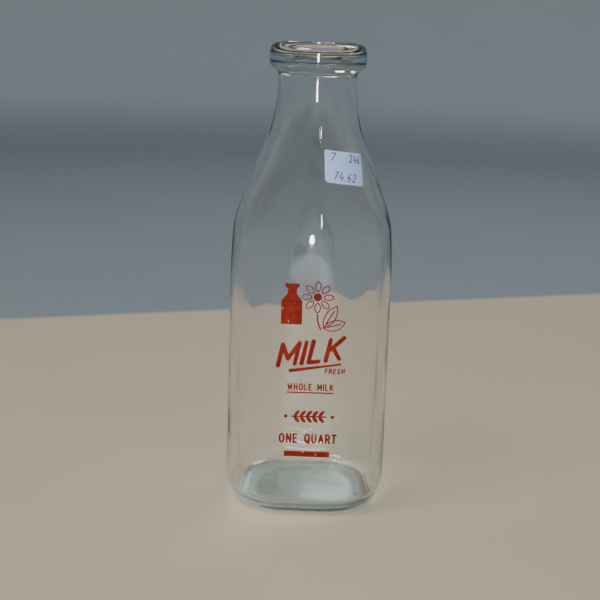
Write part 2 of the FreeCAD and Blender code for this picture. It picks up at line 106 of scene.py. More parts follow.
def turn(name, degrees, description):
    return bpy.props.FloatProperty(name=name, description=description,
                                   default=math.radians(degrees), subtype="ANGLE", unit="ROTATION")


def colour(name, default, description):
    return bpy.props.FloatVectorProperty(name=name, description=description, default=default,
                                         size=3, min=0.0, max=1.0, subtype="COLOR")


class GlassSettings(bpy.types.PropertyGroup):
    """The moulded glass. Its CAD solid is plainer: an even wall, a rounder heel and no seams."""

    height: length("Height", GLASS_HIGH.z, "From the table to the top of the lip")
    half_width: length("Half width", GLASS_HIGH.x, "From the axis to a flat side of the body")
    corner_round: length("Corner radius", 34.0 * MM, "Radius of the body's upright corners")
    corner_reach: length("Corner reach", 50.0 * MM, "From the axis to the body's corners")
    wall: length("Wall", 3.6 * MM, "Thickness of the glass")
    heel_inset: length("Heel inset", 12.8 * MM, "How far the base draws in below the body")
    heel_rise: length("Heel rise", 19.0 * MM, "Height over which it draws in")
    heel_seam: length("Heel seam", 5.0 * MM, "Height of the line where the mould's bottom joined")
    floor_height: length("Inside floor", 5.0 * MM, "Height of the inside floor")
    floor_round: length("Inside heel", 8.0 * MM, "Rounding between inside wall and floor")
    floor_rise: length("Floor dome", 2.6 * MM, "How far the inside floor rises in the middle")
    push_up_reach: length("Hollow reach", 27.5 * MM, "From the axis to the edge of the base's hollow")
    push_up_depth: length("Hollow depth", 2.2 * MM, "Depth of that hollow")
    neck_radius: length("Neck radius", 21.8 * MM, "Outside of the neck")
    neck_low: length("Neck foot", 239.7 * MM, "Height where the neck starts to flare")
    neck_flare: length("Flare radius", 93.0 * MM, "Rounding below the neck")
    shoulder_angle: turn("Shoulder slope", 20.65, "Slope of the shoulder from upright")
    shoulder_bend: length("Shoulder bend", 60.0 * MM, "Rounding at the foot of the slope")
    body_angle: turn("Body slope", 9.0, "Slope where that bend ends")
    body_bend: length("Body bend", 380.0 * MM, "Long radius down to the corners")
    blend: length("Blend", 1.7 * MM, "How softly the shoulder runs into the flat sides")
    lip_radius: length("Lip radius", 26.85 * MM, "Outside of the lip")
    lip_low: length("Mould line", 250.7 * MM, "Height of the mould line round the lip")
    lip_foot: length("Lip foot", 242.0 * MM, "Height where the lip's bowl meets the neck")
    lip_round: length("Lip edge", 5.0 * MM, "Rounding of the lip's top edge")
    seat_radius: length("Cap seat", 20.75 * MM, "Radius of the seat for a cap disc")
    seat_depth: length("Seat depth", 5.5 * MM, "Depth of that seat below the brim")
    unevenness: length("Unevenness", 0.32 * MM, "How much the wall's thickness varies")
    seam: length("Mould seam", 0.10 * MM, "Height of the seam left by the mould")
    tint: colour("Tint", (0.55, 0.68, 0.64), "What thick glass lets through")


class PrintSettings(bpy.types.PropertyGroup):
    """The fired enamel on the front of the glass."""

    thickness: length("Thickness", 0.13 * MM, "How far the enamel stands proud")
    middle: length("Middle", 1.6 * MM, "Middle of the print, right of the axis")
    line: length("Thin line", 0.6 * MM, "Width of the thin lines")
    ink: colour("Enamel", (0.23, 0.011, 0.0012), "Colour of the enamel")


class StickerSettings(bpy.types.PropertyGroup):
    """The paper sticker on the shoulder, and its pen marks."""

    width: length("Width", 23.9 * MM, "Sticker across")
    height: length("Height", 18.1 * MM, "Sticker from top to bottom")
    turn: turn("Turn", 31.4, "Round the bottle, from the front")
    level: length("Level", 195.2 * MM, "Height of its middle")
    twist: turn("Twist", -8.2, "How far it is stuck on askew")
    paper: length("Paper", 0.11 * MM, "Thickness of the paper")
    pen: length("Pen line", 0.52 * MM, "Width of the pen line")
    paper_colour: colour("Paper colour", (0.48, 0.64, 0.94), "Colour of the paper")
    pen_colour: colour("Pen colour", (0.06, 0.01, 0.12), "Colour of the pen")


class StageSettings(bpy.types.PropertyGroup):
    """Camera, table and backdrop."""

    distance: length("Camera distance", 0.740, "From the bottle's axis, along the floor")
    camera_height: length("Camera height", 0.286, "Above the floor")
    pitch: turn("Pitch", 13.0, "How far the camera looks down")
    pan: turn("Pan", 0.448, "How far it looks left of the axis")
    roll: turn("Roll", 1.86, "How far it leans to the left")
    lens: bpy.props.FloatProperty(name="Lens", description="Focal length", default=79.4,
                                  subtype="DISTANCE_CAMERA")
    table_depth: length("Table depth", 0.448, "From the bottle to the table top's far edge")
    table_width: length("Table width", 0.62, "From the bottle to the table top's ends")
    table_turn: turn("Table turn", 18.6, "How far the table stands askew")
    near_floor: colour("Table", (0.46, 0.365, 0.27), "The pale table top round the bottle")
    far_floor: colour("Backdrop", (0.235, 0.275, 0.295), "The cool backdrop behind it")


def glass_now():
    return bpy.context.scene.milk_bottle_glass


def print_now():
    return bpy.context.scene.milk_bottle_print


def sticker_now():
    return bpy.context.scene.milk_bottle_sticker


# ---------------------------------------------------------------- the shape of the glass


def square_radius(theta, half, corner):
    """From the axis to a rounded square, in direction theta. Its sides face along X and Y."""
    along = np.maximum(np.abs(np.cos(theta)), np.abs(np.sin(theta)))
    across = np.minimum(np.abs(np.cos(theta)), np.abs(np.sin(theta)))
    core = half - corner
    flat = half / along
    inside_root = corner ** 2 - core ** 2 * (along - across) ** 2
    rounded = core * (along + across) + np.sqrt(np.maximum(inside_root, 0.0))
    return np.where(flat * across <= core, flat, rounded)


def square_body(theta, grow):
    """From the axis to the body's rounded square, moved out by grow."""
    g = glass_now()
    return square_radius(theta, g.half_width + grow, g.corner_round + grow)


def soft_min(a, b, reach):
    """The lesser of a and b, rounded off where they are within reach of each other."""
    near = np.maximum(reach - np.abs(a - b), 0.0)
    return np.minimum(a, b) - near ** 2 / (4 * reach)


def turned_radius(z, grow=0.0):
    """The turned shape's radius at height z, with its bends eased as they are in moulded glass."""
    reach, spread = 7 * MM, 3.5 * MM
    steps = np.linspace(-reach, reach, 9)
    shares = np.exp(-(steps / spread) ** 2 / 2)
    shares /= shares.sum()
    return sum(share * drawn_radius(z + step, grow) for step, share in zip(steps, shares))


def drawn_radius(z, grow):
    """The radius of the turned shape of shoulder and neck at height z, larger by grow."""
    g = glass_now()
    neck = g.neck_radius + grow
    reach = g.corner_reach + grow
    flare = g.neck_flare - grow
    bend = g.shoulder_bend + grow
    long_bend = g.body_bend + grow
    slope, steep = g.shoulder_angle, g.body_angle

    bend_x = reach - long_bend - (bend - long_bend) * math.cos(steep)
    flare_x = neck + flare * (1 - math.cos(slope))
    flare_z = g.neck_low - flare * math.sin(slope)
    bend_top_x = bend_x + bend * math.cos(slope)
    bend_top_z = flare_z - (bend_top_x - flare_x) / math.tan(slope)
    bend_z = bend_top_z - bend * math.sin(slope)
    side_top = bend_z + (bend - long_bend) * math.sin(steep)

    z = np.asarray(z, float)
    throat = neck + flare - np.sqrt(np.maximum(flare ** 2 - (g.neck_low - z) ** 2, 0))
    straight = flare_x + (flare_z - z) * math.tan(slope)
    knee = bend_x + np.sqrt(np.maximum(bend ** 2 - (z - bend_z) ** 2, 0))
    above_side = np.maximum(z - side_top, 0)
    long_arc = reach - long_bend + np.sqrt(np.maximum(long_bend ** 2 - above_side ** 2, 0))
    # lower down the turned shape swells clear of the square body, which takes over
    run_out = 30 * MM
    swell = (np.maximum(side_top + run_out - z, 0) / run_out) ** 2 * MM
    rules = [z >= g.neck_low, z >= flare_z, z >= bend_top_z, z >= bend_z + bend * math.sin(steep)]
    return np.select(rules, [np.full_like(z, neck), throat, straight, knee], long_arc + swell)


def body_radius(theta, z, grow=0.0):
    """From the axis to the outside of body, shoulder or neck. grow moves it in or out."""
    return soft_min(square_body(theta, grow), turned_radius(z, grow), glass_now().blend)


def ripple(theta, z, seed):
    """A smooth unevenness between -1 and 1 that closes round the bottle."""
    # turns round the bottle, rise per metre, share
    waves = [(2, 17, 0.40), (3, -41, 0.24), (5, 77, 0.16), (9, -130, 0.12), (14, 210, 0.08)]
    total = 0.0
    for i, (turns, rise, share) in enumerate(waves):
        total = total + share * np.sin(turns * theta + rise * z + seed * (i + 1.7) * 2.3)
    return total


def on_glass(theta, z):
    """The point on the outside of the glass in this direction, which is 0 at -Y and turns to +X."""
    radius = body_radius(theta, z)
    return np.stack([radius * np.sin(theta), -radius * np.cos(theta), z], -1)


def off_glass(theta, z, proud):
    """The point this far off the glass, along its normal."""
    aside, step = 0.004, 0.2 * MM
    around = on_glass(theta + aside, z) - on_glass(theta - aside, z)
    upward = on_glass(theta, z + step) - on_glass(theta, z - step)
    normal = np.cross(around, upward)
    normal /= np.linalg.norm(normal, axis=-1, keepdims=True)
    return on_glass(theta, z) + normal * np.asarray(proud)[..., None]


def facing_theta(x, z):
    """The direction in which the front of the glass is this far to the right of the axis."""
    theta = np.zeros_like(x)
    for _ in range(12):  # each round comes closer
        theta = np.arcsin(np.clip(x / body_radius(theta, z), -1, 1))
    return theta


def arc(start, end, count):
    """Angles from start to end in degrees, without the last one."""
    return np.radians(np.linspace(start, end, count, endpoint=False))


def heights(start, *stretches):
    """Heights from start through each (end, spacing), evenly spaced, without the very last."""
    found = []
    for end, spacing in stretches:
        count = max(1, round(abs(end - start) / spacing))
        found += list(np.linspace(start, end, count, endpoint=False))
        start = end
    return found


def outside_rows(theta):
    """Rows of the outside skin from the middle of the base up to the brim: (radius, height)."""
    g = glass_now()
    rows = []
    for share in np.linspace(0.08, 1.0, 12, endpoint=False):
        rows.append((g.push_up_reach * share, g.push_up_depth * (1 - share ** 2)))
    ring = square_body(theta, -g.heel_inset)
    for share in (0.0, 0.3, 0.65):
        rows.append((g.push_up_reach + (ring - g.push_up_reach) * share, 0.0))
    levels = g.heel_rise * (1 - np.cos(arc(0, 90, 18)))
    levels = levels[np.abs(levels - g.heel_seam) > 1.1 * MM]
    near_seam = g.heel_seam + np.array([-0.9, -0.45, -0.2, 0.0, 0.2, 0.45, 0.9]) * MM
    groove_depth, groove_reach = 0.22 * MM, 0.3 * MM
    for z in np.sort(np.concatenate([levels, near_seam])):
        lean = 1 - z / g.heel_rise
        inset = g.heel_inset * (1 - math.sqrt(max(1 - lean ** 2, 0.0)))
        groove = groove_depth * math.exp(-((z - g.heel_seam) / groove_reach) ** 2)
        rows.append((square_body(theta, -inset) - groove, z))

    for z in heights(g.heel_rise, (0.12, 3 * MM), (0.145, 2 * MM), (0.18, 1.2 * MM),
                     (0.2, 2 * MM), (g.lip_foot, 1.5 * MM)):
        rows.append((body_radius(theta, z), z))
    out, rise = g.lip_radius - g.neck_radius, g.lip_low - g.lip_foot
    bowl = (out ** 2 + rise ** 2) / (4 * out)
    sweep = math.degrees(math.asin(rise / (2 * bowl)))
    for a in arc(180, 180 - sweep, 9):
        rows.append((g.neck_radius + bowl + bowl * math.cos(a), g.lip_foot + bowl * math.sin(a)))
    for a in arc(-sweep, -6, 9):
        rows.append((g.lip_radius - bowl + bowl * math.cos(a), g.lip_low + bowl * math.sin(a)))
    # the mould line is a narrow groove with a sharp upper edge: how far each row stands in from the
    # lip and below the line, in millimetres
    for inset, drop in ((0.04, 0.62), (0.10, 0.50), (0.46, 0.24), (0.50, 0.10), (0.46, 0.0),
                        (0.08, -0.06), (0.02, -0.20), (0.0, -0.6)):
        rows.append((g.lip_radius - inset * MM, g.lip_low - drop * MM))
    top = g.height - g.lip_round
    for z in np.linspace(g.lip_low + 1.2 * MM, top, 4, endpoint=False):
        rows.append((g.lip_radius, z))
    for a in arc(0, 90, 12):
        rows.append((g.lip_radius - g.lip_round * (1 - math.cos(a)), top + g.lip_round * math.sin(a)))
    return rows


def wall_at(z):
    """The wall's thickness, least under the shoulder and most above the base."""
    heel, shoulder, neck = 20 * MM, 150 * MM, 200 * MM
    extra = np.interp(z, (heel, shoulder, neck), (1.0 * MM, -0.6 * MM, 0.0))
    return glass_now().wall + float(extra)


def inside_rows(theta):
    """Rows of the inside skin from the brim down to the middle of the floor."""
    g = glass_now()
    rows = []
    edge = g.lip_radius - g.lip_round - g.seat_radius
    for a in arc(90, 180, 6):
        rows.append((g.seat_radius + edge * (1 + math.cos(a)), g.height - edge + edge * math.sin(a)))
    throat = g.neck_radius - g.wall
    seat = g.height - g.seat_depth
    corner = 0.8 * MM
    for z in np.linspace(g.height - edge - 0.4 * MM, seat + corner, 4):
        rows.append((g.seat_radius, z))
    for a in arc(0, 90, 4):
        rows.append((g.seat_radius - corner * (1 - math.cos(a)), seat + corner * (1 - math.sin(a))))
    ledge = 1.0 * MM
    seat_edge = g.seat_radius - corner
    for share in (0.0, 0.5):
        rows.append((seat_edge - (seat_edge - throat - ledge) * share, seat))
    for a in arc(90, 180, 5):
        rows.append((throat + ledge * (1 + math.cos(a)), seat - ledge + ledge * math.sin(a)))
    low = g.floor_height + g.floor_round
    for z in heights(seat - ledge, (0.2, 1.5 * MM), (0.18, 2 * MM), (0.145, 1.2 * MM),
                     (0.12, 2 * MM), (low, 3 * MM)):
        fade = np.clip((g.lip_foot - z) / (20 * MM), 0.0, 1.0)
        uneven = g.unevenness * fade * ripple(theta, z, 1.0)
        rows.append((body_radius(theta, z, -wall_at(z)) + uneven, z))
    for a in arc(0, 90, 16):
        inset = wall_at(low) + g.floor_round * (1 - math.cos(a))
        uneven = g.unevenness * math.cos(a) * ripple(theta, low, 1.0)
        rows.append((square_body(theta, -inset) + uneven, low - g.floor_round * math.sin(a)))
    square = square_body(theta, -wall_at(low) - g.floor_round)
    for share in np.linspace(1.0, 0.08, 14):
        rows.append((square * share, g.floor_height + g.floor_rise * (1 - share ** 2) ** 1.5))
    return rows


def glass_columns():
    """Directions round the bottle, closer together over the two mould seams."""
    plain = np.linspace(0, 2 * math.pi, 288, endpoint=False)
    seams = [math.pi * 1.75, math.pi * 0.75]
    spread = np.array([-0.012, -0.007, -0.004, 0.0, 0.004, 0.007, 0.012])
    extra = np.concatenate([seam + spread for seam in seams])
    gap = 0.006
    clear = [t for t in plain if np.min(np.abs(extra - t)) > gap]
    return np.sort(np.concatenate([clear, extra])), seams


def seam_height(theta, seams):
    """How much of the seam's height stands in each direction."""
    away = np.min([np.abs(theta - seam) for seam in seams], axis=0)
    half_width = 0.007
    return np.clip(1 - away / half_width, 0, 1) ** 2


def build_glass():
    """One closed skin: base, outside, lip, inside and floor."""
    g = glass_now()
    theta, seams = glass_columns()
    ridge = g.seam * seam_height(theta, seams)
    dent = 0.05 * MM
    mesh = bmesh.new()
    rows = []
    for radius, z in outside_rows(theta):
        proud = ridge if g.heel_seam < z < g.lip_low else 0.0
        dip = dent * (1 - ripple(theta, z, 4.0)) if g.heel_rise < z < g.lip_foot else 0.0
        rows.append((radius + proud - dip, z))
    rows += inside_rows(theta)
    rings = []
    for radius, z in rows:
        x, y = radius * np.sin(theta), -radius * np.cos(theta)
        rings.append([mesh.verts.new((px, py, z)) for px, py in zip(x, y)])
    skin(mesh, rings)
    for ring, height, turned in ((rings[0], g.push_up_depth, True),
                                 (rings[-1], g.floor_height + g.floor_rise, False)):
        middle = mesh.verts.new((0, 0, height))
        for a, b in zip(ring, ring[1:] + ring[:1]):
            mesh.faces.new((middle, b, a) if turned else (middle, a, b))
    return finished(mesh, "milk_bottle_glass")


def skin(mesh, rings):
    """Joins each ring of corners to the next with a band of faces."""
    for lower, upper in zip(rings, rings[1:]):
        for a, b, c, d in zip(lower, lower[1:] + lower[:1], upper[1:] + upper[:1], upper):
            mesh.faces.new((a, b, c, d))


def finished(mesh, name):
    """Turns a bmesh into a piece in the scene."""
    bmesh.ops.recalc_face_normals(mesh, faces=mesh.faces)
    data = bpy.data.meshes.new(name)
    mesh.to_mesh(data)
    mesh.free()
    return shown(data)


def shown(data):
    """Puts a mesh in the scene as a smooth piece of the same name."""
    data.polygons.foreach_set("use_smooth", [True] * len(data.polygons))
    piece = bpy.data.objects.new(data.name, data)
    bpy.context.scene.collection.objects.link(piece)
    return piece


# ---------------------------------------------------------------- flat drawings


def smooth_path(points):
    """Points along a smooth curve through the given ones, eight for each."""
    known = [np.array(p, float) for p in points]
    closed = np.allclose(known[0], known[-1])
    before = known[-2] if closed else 2 * known[0] - known[1]
    after = known[1] if closed else 2 * known[-1] - known[-2]
    known = [before, *known, after]
    path = []
    for a, b, c, d in zip(known, known[1:], known[2:], known[3:]):
        for t in np.linspace(0, 1, 8, endpoint=False):
            path.append(0.5 * (2 * b + (c - a) * t + (2 * a - 5 * b + 4 * c - d) * t ** 2
                               + (3 * b - a - 3 * c + d) * t ** 3))
    path.append(known[-2])
    return path


class Drawing:
    """Flat shapes in millimetres. distance() is negative inside the colour."""

    def __init__(self, wobble=0.03, seed=0.0):
        self.filled, self.bare, self.corners = [], [], []
        self.wobble, self.seed = wobble, seed

    def add(self, shape, points, margin=1.0):
        self.filled.append(shape)
        for x, y in points:
            self.corners += [(x - margin, y - margin), (x + margin, y + margin)]

    def line(self, points, width, end_width=None):
        """A stroke with round ends, from one width to another."""
        last = width if end_width is None else end_width
        points = [np.array(p, float) for p in points]
        widths = np.linspace(width, last, len(points))
        pieces = list(zip(points, points[1:], widths, widths[1:]))

        def shape(p):
            return np.min([capsule_distance(p, *piece) for piece in pieces], axis=0)
        self.add(shape, points, width + 0.6)

    def disc(self, centre, radius):
        self.add(lambda p: np.hypot(p[..., 0] - centre[0], p[..., 1] - centre[1]) - radius,
                 [centre], radius + 0.6)

    def polygon(self, points):
        self.add(lambda p: polygon_distance(p, points), points)

    def petal(self, start, end, swell, line):
        """An outlined leaf or petal between two points."""
        self.add(lambda p: outlined(lens_distance(p, start, end, swell), line),
                 [start, end], swell)

    def leaf(self, start, end, swell):
        """A filled leaf between two points."""
        self.add(lambda p: lens_distance(p, start, end, swell), [start, end], swell)

    def worn(self, count):
        """Pinholes and short scratches through the colour, spread evenly over the drawing."""
        corners = np.array(self.corners)
        low, reach = corners.min(0), np.ptp(corners, axis=0)
        # steps of these shares of the drawing scatter evenly, and every third mark is a scratch
        stride, turned, scratch, pinhole = np.array((0.7549, 0.5698)), 2.4, 0.9, 0.05
        for i in range(count):
            spot = low + reach * ((stride * (i + 1) + 0.1 * self.seed) % 1)
            way = np.array((math.cos(turned * i), math.sin(turned * i)))
            way *= scratch if i % 3 == 0 else pinhole
            self.bare.append(lambda p, a=spot, b=spot + way, w=0.3 + 0.12 * (i % 4):
                             capsule_distance(p, a, b, w, 0.6 * w))

    def words(self, text, centre, high, across, width, lean=0.0, climb=0.0, taper=1.0, gap=0.34):
        """Letters centred on a point and stretched to a width. Angles are in degrees."""
        total = sum(GLYPHS[letter][0] for letter in text) + gap * (len(text) - 1)
        scale = across / total
        shear, slope = math.tan(math.radians(lean)), math.tan(math.radians(climb))
        cursor = -total / 2
        for letter in text:
            advance, strokes = GLYPHS[letter]
            for kind, path in strokes:
                path = smooth_path(path) if kind == "curve" else path
                points = []
                for u, v in path:
                    rise = (v - 0.5) * high
                    x = (cursor + u) * scale + rise * shear
                    points.append((centre[0] + x, centre[1] + rise + x * slope))
                self.line(points, width, width * taper)
            cursor += advance + gap

    def distance(self, p):
        far = np.min([shape(p) for shape in self.filled], axis=0)
        for shape in self.bare:
            far = np.maximum(far, -shape(p))
        x, y = p[..., 0], p[..., 1]
        rough = (np.sin(5.1 * x + 3.3 * y + self.seed) * np.sin(4.3 * y - 2.2 * x + self.seed)
                 + 0.6 * np.sin(11.7 * x - 7.9 * y) * np.sin(9.1 * y + 13.3 * x))
        return far + self.wobble * rough


def capsule_distance(p, a, b, width_a, width_b):
    along = b - a
    share = np.clip(((p - a) @ along) / max(float(along @ along), 1e-9), 0, 1)
    near = a + share[..., None] * along
    width = width_a + (width_b - width_a) * share
    return np.linalg.norm(p - near, axis=-1) - width / 2


def polygon_distance(p, points):
    corners = [np.array(c, float) for c in points]
    far = np.full(p.shape[:-1], 1e9)
    inside = np.zeros(p.shape[:-1], bool)
    for a, b in zip(corners, corners[1:] + corners[:1]):
        far = np.minimum(far, capsule_distance(p, a, b, 0.0, 0.0))
        between = (a[1] > p[..., 1]) != (b[1] > p[..., 1])
        rise = b[1] - a[1] if abs(b[1] - a[1]) > 1e-9 else 1e-9
        crossing = a[0] + (p[..., 1] - a[1]) * (b[0] - a[0]) / rise
        inside ^= between & (p[..., 0] < crossing)
    return np.where(inside, -far, far)


def lens_distance(p, start, end, swell):
    """Distance to the shape between two equal arcs that join start and end."""
    start, end = np.array(start, float), np.array(end, float)
    middle, along = (start + end) / 2, end - start
    half = np.linalg.norm(along) / 2
    bulge = swell / 2
    radius = (half ** 2 + bulge ** 2) / (2 * bulge)
    aside = np.array([-along[1], along[0]]) / (2 * half) * (radius - bulge)
    return np.maximum(np.linalg.norm(p - middle - aside, axis=-1) - radius,
                      np.linalg.norm(p - middle + aside, axis=-1) - radius)


def outlined(far, line):
    """Keeps only the outer rim of a shape, this wide."""
    return np.abs(far + line / 2) - line / 2


CELL_EDGES = ((0, 1), (1, 2), (2, 3), (3, 0))


def build_sheet(name, drawing, step, thickness, place):
    """A thin closed piece with the drawing's outline, laid on the glass by place(x, y, proud).

    The outline is where the drawing's distance crosses zero on a grid of this step, in millimetres.
    """
    corners = np.array(drawing.corners)
    low, high = corners.min(0), corners.max(0)
    xs = np.arange(low[0], high[0] + step, step)
    ys = np.arange(low[1], high[1] + step, step)
    grid = np.stack(np.meshgrid(xs, ys, indexing="ij"), -1)
    far = drawing.distance(grid)
    far = np.where(np.abs(far) < 1e-6, 1e-6, far)
    spots, depths, index, faces = [], [], {}, []

    def corner(i, j):
        if (i, j) not in index:
            index[i, j] = len(spots)
            spots.append(grid[i, j])
            depths.append(-far[i, j])
        return index[i, j]

    def crossing(a, b):
        key = (min(a, b), max(a, b))
        if key not in index:
            share = far[key[0]] / (far[key[0]] - far[key[1]])
            index[key] = len(spots)
            spots.append(grid[key[0]] + (grid[key[1]] - grid[key[0]]) * share)
            depths.append(0.0)
        return index[key]

    touched = np.minimum.reduce([far[:-1, :-1], far[1:, :-1], far[1:, 1:], far[:-1, 1:]]) < 0
    for i, j in zip(*np.nonzero(touched)):
        cell = [(i, j), (i + 1, j), (i + 1, j + 1), (i, j + 1)]
        face = []
        for a, b in CELL_EDGES:
            if far[cell[a]] < 0:
                face.append(corner(*cell[a]))
            if (far[cell[a]] < 0) != (far[cell[b]] < 0):
                face.append(crossing(cell[a], cell[b]))
        if len(face) > 2:
            faces.append(face)

    spots, depths = np.array(spots), np.array(depths)
    count = len(spots)
    # the edge stands at 0.4 of the full thickness and rises over about a third of a millimetre
    edge, rise, sunk = 0.4, 0.12, 0.02 * MM
    proud = thickness * (edge + (1 - edge) * (1 - np.exp(-depths / rise)))
    top = place(spots[:, 0], spots[:, 1], proud)
    under = place(spots[:, 0], spots[:, 1], np.full(count, -sunk))
    used = {(a, b) for face in faces for a, b in zip(face, face[1:] + face[:1])}
    sides = [(a, a + count, b + count, b) for a, b in used if (b, a) not in used]
    below = [[v + count for v in reversed(face)] for face in faces]
    data = bpy.data.meshes.new(name)
    data.from_pydata(np.concatenate([top, under]).tolist(), [], faces + below + sides)
    data.validate()
    return shown(data)


def settle(piece, node, material):
    """Puts a finished piece in the place of its CAD node."""
    piece.data.materials.clear()
    piece.data.materials.append(material)
    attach(piece, BODY)
    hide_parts(node)


# ---------------------------------------------------------------- materials


class Nodes:
    """A material's node tree, with short calls for the nodes used here."""

    def __init__(self, name):
        self.material = bpy.data.materials.get(name) or bpy.data.materials.new(name)
        self.material.use_nodes = True
        self.tree = self.material.node_tree
        self.tree.nodes.clear()
        self.output = self.tree.nodes.new("ShaderNodeOutputMaterial")
        self.place = self.tree.nodes.new("ShaderNodeTexCoord").outputs["Object"]

    def link(self, start, end):
        self.tree.links.new(start, end)

    def node(self, kind, **values):
        made = self.tree.nodes.new(kind)
        for key, value in values.items():
            setattr(made, key, value)
        return made

    def surface(self, **values):
        shader = self.node("ShaderNodeBsdfPrincipled")
        for key, value in values.items():
            shader.inputs[key.replace("_", " ")].default_value = value
        return shader

    def noise(self, scale, detail=3.0, roughness=0.55, stretch=None):
        made = self.node("ShaderNodeTexNoise")
        made.inputs["Scale"].default_value = scale
        made.inputs["Detail"].default_value = detail
        made.inputs["Roughness"].default_value = roughness
        source = self.place
        if stretch:
            mapping = self.node("ShaderNodeMapping")
            mapping.inputs["Scale"].default_value = stretch
            self.link(self.place, mapping.inputs["Vector"])
            source = mapping.outputs["Vector"]
        self.link(source, made.inputs["Vector"])
        return made.outputs["Fac"]

    def ramp(self, source, low, high, start, end):
        """A smooth map of source from low..high to start..end."""
        made = self.node("ShaderNodeMapRange", interpolation_type="SMOOTHSTEP")
        for key, value in (("From Min", low), ("From Max", high), ("To Min", start), ("To Max", end)):
            made.inputs[key].default_value = value
        self.link(source, made.inputs["Value"])
        return made.outputs["Result"]

    def mix(self, share, first, second):
        """A blend of two colours, each three numbers or another node's output."""
        made = self.node("ShaderNodeMix", data_type="RGBA")
        for slot, value in (("A", first), ("B", second)):
            if isinstance(value, tuple):
                made.inputs[slot].default_value = (*value, 1.0)
            else:
                self.link(value, made.inputs[slot])
        self.link(share, made.inputs["Factor"])
        return made.outputs["Result"]

    def maths(self, operation, first, second):
        made = self.node("ShaderNodeMath", operation=operation)
        for slot, value in zip(made.inputs, (first, second)):
            if isinstance(value, (int, float)):
                slot.default_value = value
            else:
                self.link(value, slot)
        return made.outputs["Value"]

    def band(self, source, start, full, fading, end):
        """1 where source is from full to fading, and 0 before start and after end."""
        return self.maths("MULTIPLY", self.ramp(source, start, full, 0.0, 1.0),
                          self.ramp(source, fading, end, 1.0, 0.0))

    def bump(self, height, strength, distance):
        made = self.node("ShaderNodeBump")
        made.inputs["Strength"].default_value = strength
        made.inputs["Distance"].default_value = distance
        self.link(height, made.inputs["Height"])
        return made.outputs["Normal"]

    def reach(self):
        """The distance from the bottle's axis."""
        flat = self.node("ShaderNodeVectorMath", operation="MULTIPLY")
        flat.inputs[1].default_value = (1.0, 1.0, 0.0)
        self.link(self.place, flat.inputs[0])
        made = self.node("ShaderNodeVectorMath", operation="LENGTH")
        self.link(flat.outputs["Vector"], made.inputs[0])
        return made.outputs["Value"]

    def height_of(self):
        """The height above the table."""
        made = self.node("ShaderNodeSeparateXYZ")
        self.link(self.place, made.inputs["Vector"])
        return made.outputs["Z"]

    def done(self, shader):
        """The material, with this shader as its surface."""
        self.link(shader.outputs[0], self.output.inputs["Surface"])
        return self.material


def glass_material():
    """Clear glass, faintly green in its depth, with rub marks where bottles knock together, and painted
    shade on its underside and in the mould line round the lip.
    """
    n = Nodes("clear_glass_real")
    g = glass_now()
    shader = n.surface(Base_Color=(1.0, 1.0, 1.0, 1.0), Transmission_Weight=1.0, IOR=1.52)
    z = n.height_of()
    shoulder = n.band(z, 0.148, 0.158, 0.163, 0.174)
    heel = n.band(z, 0.008, 0.012, 0.016, 0.026)
    rub = n.maths("MULTIPLY", n.maths("ADD", shoulder, heel),
                  n.ramp(n.noise(420, 5.0, 0.7, (1, 1, 0.25)), 0.56, 0.72, 0.0, 1.0))
    haze = n.ramp(n.noise(24, 4.0), 0.45, 0.75, 0.0, 0.02)
    # the underside is frosted, and its colour is painted shade: greyed as if in the shadow under the
    # bottle. A painted dark line of shade runs in the mould line round the lip
    under = n.ramp(z, g.push_up_depth, g.push_up_depth + 1.2 * MM, 1.0, 0.0)
    base = n.maths("MULTIPLY", under, n.ramp(n.noise(160, 4.0, 0.6), 0.3, 0.7, 0.26, 0.42))
    low, high, fade = g.lip_low - 0.6 * MM, g.lip_low + 0.1 * MM, 0.2 * MM
    groove = n.band(z, low - fade, low, high, high + fade)
    outer = n.maths("MULTIPLY", groove, n.ramp(n.reach(), 25.6 * MM, 26.0 * MM, 0.0, 1.0))
    # painted shade: the narrow band of the mould line on the outside of the lip is darkened, as the
    # groove looks in shade
    groove_painted_shade = n.mix(n.maths("MULTIPLY", outer, 0.9), (1.0, 1.0, 1.0), (0.10, 0.11, 0.12))
    # painted shade: the underside's colour is darkened to a grey-blue for the shade in the hollow under
    # the bottle
    n.link(n.mix(under, groove_painted_shade, (0.22, 0.255, 0.29)), shader.inputs["Base Color"])
    rough = n.maths("ADD", haze, n.maths("MULTIPLY", rub, 0.22))
    n.link(n.maths("MAXIMUM", rough, base), shader.inputs["Roughness"])
    n.link(n.bump(n.noise(55, 2.0, 0.4, (1, 1, 0.5)), 0.05, 0.0006), shader.inputs["Normal"])

    # lamps shine through, dimmed most where the glass is seen edge on
    facing = n.node("ShaderNodeLayerWeight")
    facing.inputs["Blend"].default_value = 0.35
    clear = n.node("ShaderNodeBsdfTransparent")
    n.link(n.mix(facing.outputs["Facing"], (0.98, 0.985, 0.98), (0.62, 0.68, 0.66)),
           clear.inputs["Color"])
    path = n.node("ShaderNodeLightPath")
    either = n.node("ShaderNodeMixShader")
    n.link(path.outputs["Is Shadow Ray"], either.inputs["Fac"])
    n.link(shader.outputs["BSDF"], either.inputs[1])
    n.link(clear.outputs["BSDF"], either.inputs[2])

    depth = n.node("ShaderNodeVolumeAbsorption")
    depth.inputs["Color"].default_value = (*g.tint, 1.0)
    depth.inputs["Density"].default_value = 26.0
    n.link(depth.outputs["Volume"], n.output.inputs["Volume"])
    return n.done(either)


def scaled(tone, share, lift=0.0):
    """A colour made lighter or darker."""
    return tuple(c * share + lift for c in tone)


